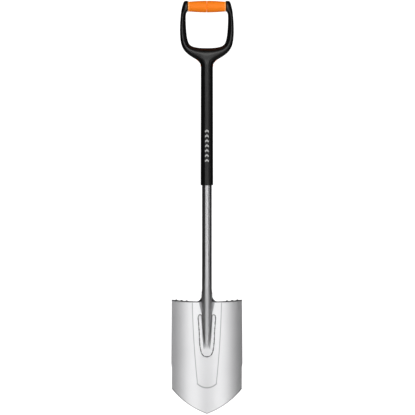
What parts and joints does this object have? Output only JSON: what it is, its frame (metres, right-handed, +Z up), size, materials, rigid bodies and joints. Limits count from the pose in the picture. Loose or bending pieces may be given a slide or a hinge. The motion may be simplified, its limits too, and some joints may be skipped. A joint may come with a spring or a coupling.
{
  "type": "digging spade",
  "caption": "D-handled digging spade: pointed, dished steel blade with boot treads, welded tube shaft, plastic sleeve and a moulded handle with a barrel grip.",
  "frame": {"origin": "the underside of the grip at its middle, where a hook carries the hanging spade; the shaft's axis passes through it", "axes": "+Z up the shaft from blade to grip, +X across the blade and along the grip to the right, -Y to the front, the hollow side of the blade"},
  "size_m": [0.2068, 0.0703, 1.203],
  "materials": {
    "blade_steel": "satin",
    "tube_steel": "polished",
    "weld_metal": "satin",
    "sleeve_black": "matte",
    "frame_black": "matte",
    "core_orange": "matte",
    "grip_orange": "satin"
  },
  "bodies": {
    "root": {"blade": "blade_steel", "shaft_tube": "tube_steel", "foot_weld": "weld_metal", "collar_weld": "weld_metal", "shaft_sleeve": "sleeve_black", "handle_core": "core_orange", "handle_frame": "frame_black", "grip_half_left": "grip_orange", "grip_half_right": "grip_orange"}
  },
  "joints": []
}
